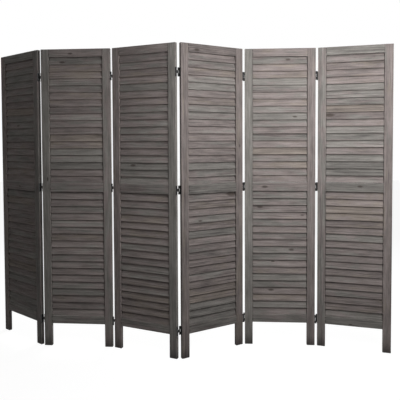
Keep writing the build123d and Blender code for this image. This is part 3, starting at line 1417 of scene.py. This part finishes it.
    def leaves(self, side: Side) -> bpy.types.Object:
        """The three leaves on one side's panel.

        Args:
            side: the panel's side of the line.

        Returns:
            The finished piece.
        """
        flat = Surface.joined([self.leaf(z) for z in self.sizes.hinge_heights])
        surface = flat.moved(Lay.UPRIGHT.axes(), ORIGIN, self.edge(side))
        return dressed(f"hinge_{side.value}_{self.number}", surface, self.finishes.hinge_metal)

    def edge(self, side: Side) -> Place:
        """Where a leaf's drawing stands: on its panel's edge, turned half round on the right."""
        if side is Side.LEFT:
            return Place(*self.left.step(self.sizes.panel_width, 0.0), self.left.heading)
        return Place(self.right.x, self.right.y, self.right.heading + 180.0)

    def leaf_screws(self, side: Side) -> bpy.types.Object:
        """The screws of one side's leaves.

        Args:
            side: the panel's side of the line.

        Returns:
            The finished piece.
        """
        flat = Surface.joined([self.screws(z) for z in self.sizes.hinge_heights])
        surface = flat.moved(np.eye(3), ORIGIN, self.edge(side))
        return dressed(f"screws_{side.value}_{self.number}", surface, self.finishes.hinge_metal)

    def links(self) -> bpy.types.Object:
        """The three links, each a web between two barrels.

        Returns:
            The finished piece.
        """
        outline, outward = self.dog_bone()
        middles = [self.knuckles(z)[1] for z in self.sizes.hinge_heights]
        parts = [raised(outline, outward, low, high) for low, high in middles]
        surface = Surface.joined(parts).moved(Lay.UPRIGHT.axes(), ORIGIN, self.link)
        return dressed(f"hinge_link_{self.number}", surface, self.finishes.hinge_metal)

    def build(self) -> None:
        """Makes and settles the line's pieces."""
        k, node = self.number, f"hinge_{self.number}_"
        settle(self.leaves(Side.LEFT), f"panel_{k}", "hinge_metal", f"{node}left_leaves")
        settle(self.links(), f"link_{k}", "hinge_metal", f"{node}links")
        settle(self.leaves(Side.RIGHT), f"panel_{k + 1}", "hinge_metal", f"{node}right_leaves")
        settle(self.leaf_screws(Side.LEFT), f"panel_{k}", "hinge_metal")
        settle(self.leaf_screws(Side.RIGHT), f"panel_{k + 1}", "hinge_metal")


# Studio


@dataclass(frozen=True)
class Lamp:
    """A soft square lamp: its middle, the point that it faces, its size and its power."""

    name: str
    at: tuple[float, float, float]
    aim: tuple[float, float, float]
    size: float
    watts: float

    def hang(self) -> None:
        """Hangs the lamp and turns it to its aim; it isn't seen itself."""
        data = bpy.data.lights.new(self.name, "AREA")
        data.shape, data.size, data.energy = "SQUARE", self.size, self.watts
        lamp = bpy.data.objects.new(self.name, data)
        lamp.location = self.at
        aim = Vector(self.aim) - Vector(self.at)
        lamp.rotation_euler = aim.to_track_quat("-Z", "Y").to_euler()
        lamp.visible_camera = False
        bpy.context.scene.collection.objects.link(lamp)


@dataclass
class Studio:
    """A pale floor, a soft lamp at the right of the front, two more aside and behind, the camera.

    Attributes:
        front: the lamp that lights what the photograph shows.
        side: a weak lamp at the left, for the panel that turns away from the first.
        back: the lamp that keeps the back from going black.
        surroundings: how bright the rest of the room is, where 1 is white.
        camera_at: the camera's place.
        camera_pitch: degrees that it looks down.
        camera_yaw: degrees that it turns to the left, negative to the right.
        camera_roll: degrees that it turns about its own axis.
        lens: focal length for a 36 mm wide picture.
        shift_y: how far the picture is shifted, as a share of its width.
    """

    front: Lamp = Lamp("front_lamp", (0.70, -1.10, 1.62), (0.35, 0.0, 0.75), 1.2, 17.5)
    side: Lamp = Lamp("side_lamp", (-1.90, -1.20, 2.30), (-0.9, 0.1, 1.20), 0.8, 2.2)
    back: Lamp = Lamp("back_lamp", (0.30, 2.60, 2.20), (0.0, 0.0, 0.90), 1.6, 50.0)
    surroundings: float = 0.05
    camera_at: tuple[float, float, float] = (0.0638, -2.9833, 1.1689)
    camera_pitch: float = 2.11
    camera_yaw: float = -0.447
    camera_roll: float = -0.236
    lens: float = 46.36
    shift_y: float = -0.0962

    def camera(self) -> None:
        """Stands the camera where the photograph was taken from."""
        data = bpy.data.cameras.new("camera")
        data.lens, data.sensor_width, data.shift_y = self.lens, 36.0, self.shift_y
        eye = bpy.data.objects.new("camera", data)
        turn = Matrix.Rotation(math.radians(self.camera_yaw), 4, "Z")
        turn = turn @ Matrix.Rotation(math.radians(90 - self.camera_pitch), 4, "X")
        turn = turn @ Matrix.Rotation(math.radians(self.camera_roll), 4, "Z")
        eye.matrix_world = Matrix.Translation(self.camera_at) @ turn
        bpy.context.scene.collection.objects.link(eye)
        bpy.context.scene.camera = eye

    def room(self) -> None:
        """Weak even light from all round, seen as white."""
        world = bpy.data.worlds.new("room")
        world.use_nodes = True
        world.node_tree.nodes.clear()
        g = Graph(world.node_tree)
        weak, white = (
            g.add("ShaderNodeBackground", {"Color": WHITE, "Strength": strength}).outputs[0]
            for strength in (self.surroundings, 1.0)
        )
        both = g.add("ShaderNodeMixShader", {0: seen_directly(g), 1: weak, 2: white})
        out = g.add("ShaderNodeOutputWorld")
        g.tree.links.new(both.outputs[0], out.inputs[0])
        bpy.context.scene.world = world

    def floor(self) -> None:
        """Lays the floor: a wide disc, its radius and turn the two parameters of a grid."""
        radii, around, drop = [0.001, 2.0, 6.0, 14.0], 48, 0.0004
        turns = np.linspace(0, 2 * np.pi, around, endpoint=False)
        radius, turn = np.meshgrid(radii, turns, indexing="ij")
        level = np.full_like(radius, -drop)
        points = np.stack([radius * np.cos(turn), radius * np.sin(turn), level], axis=-1)
        number = np.arange(len(radii) * around).reshape(len(radii), around)
        beside = np.roll(number, -1, axis=1)
        ring_faces = np.stack([number[:-1], number[1:], beside[1:], beside[:-1]], axis=-1)
        faces = ring_faces.reshape(-1, 4).tolist() + [number[0].tolist()]
        mesh = bpy.data.meshes.new("floor")
        mesh.from_pydata(points.reshape(-1, 3).tolist(), [], faces)
        mesh.materials.append(PaleFloor().material())
        floor = bpy.data.objects.new("floor", mesh)
        bpy.context.scene.collection.objects.link(floor)

    def build(self) -> None:
        """Sets up camera, lamps, room and floor."""
        bpy.context.scene.view_settings.view_transform = "Standard"
        self.camera()
        for lamp in (self.front, self.side, self.back):
            lamp.hang()
            LOG.info("%s: %.1f W", lamp.name, lamp.watts)
        self.room()
        self.floor()


def main() -> None:
    """Builds the studio, the panels and the hinge lines."""
    logging.basicConfig(level=logging.INFO, format="%(name)s: %(message)s")
    sizes = ScreenSizes()
    panels, links = sizes.plan()
    Studio().build()
    finishes = Finishes.made()
    for number, place in enumerate(panels, start=1):
        Panel(number, place, sizes, finishes).build()
    for number, link in enumerate(links, start=1):
        HingeLine(number, panels[number - 1], panels[number], link, sizes, finishes).build()


if __name__ == "__main__":
    main()
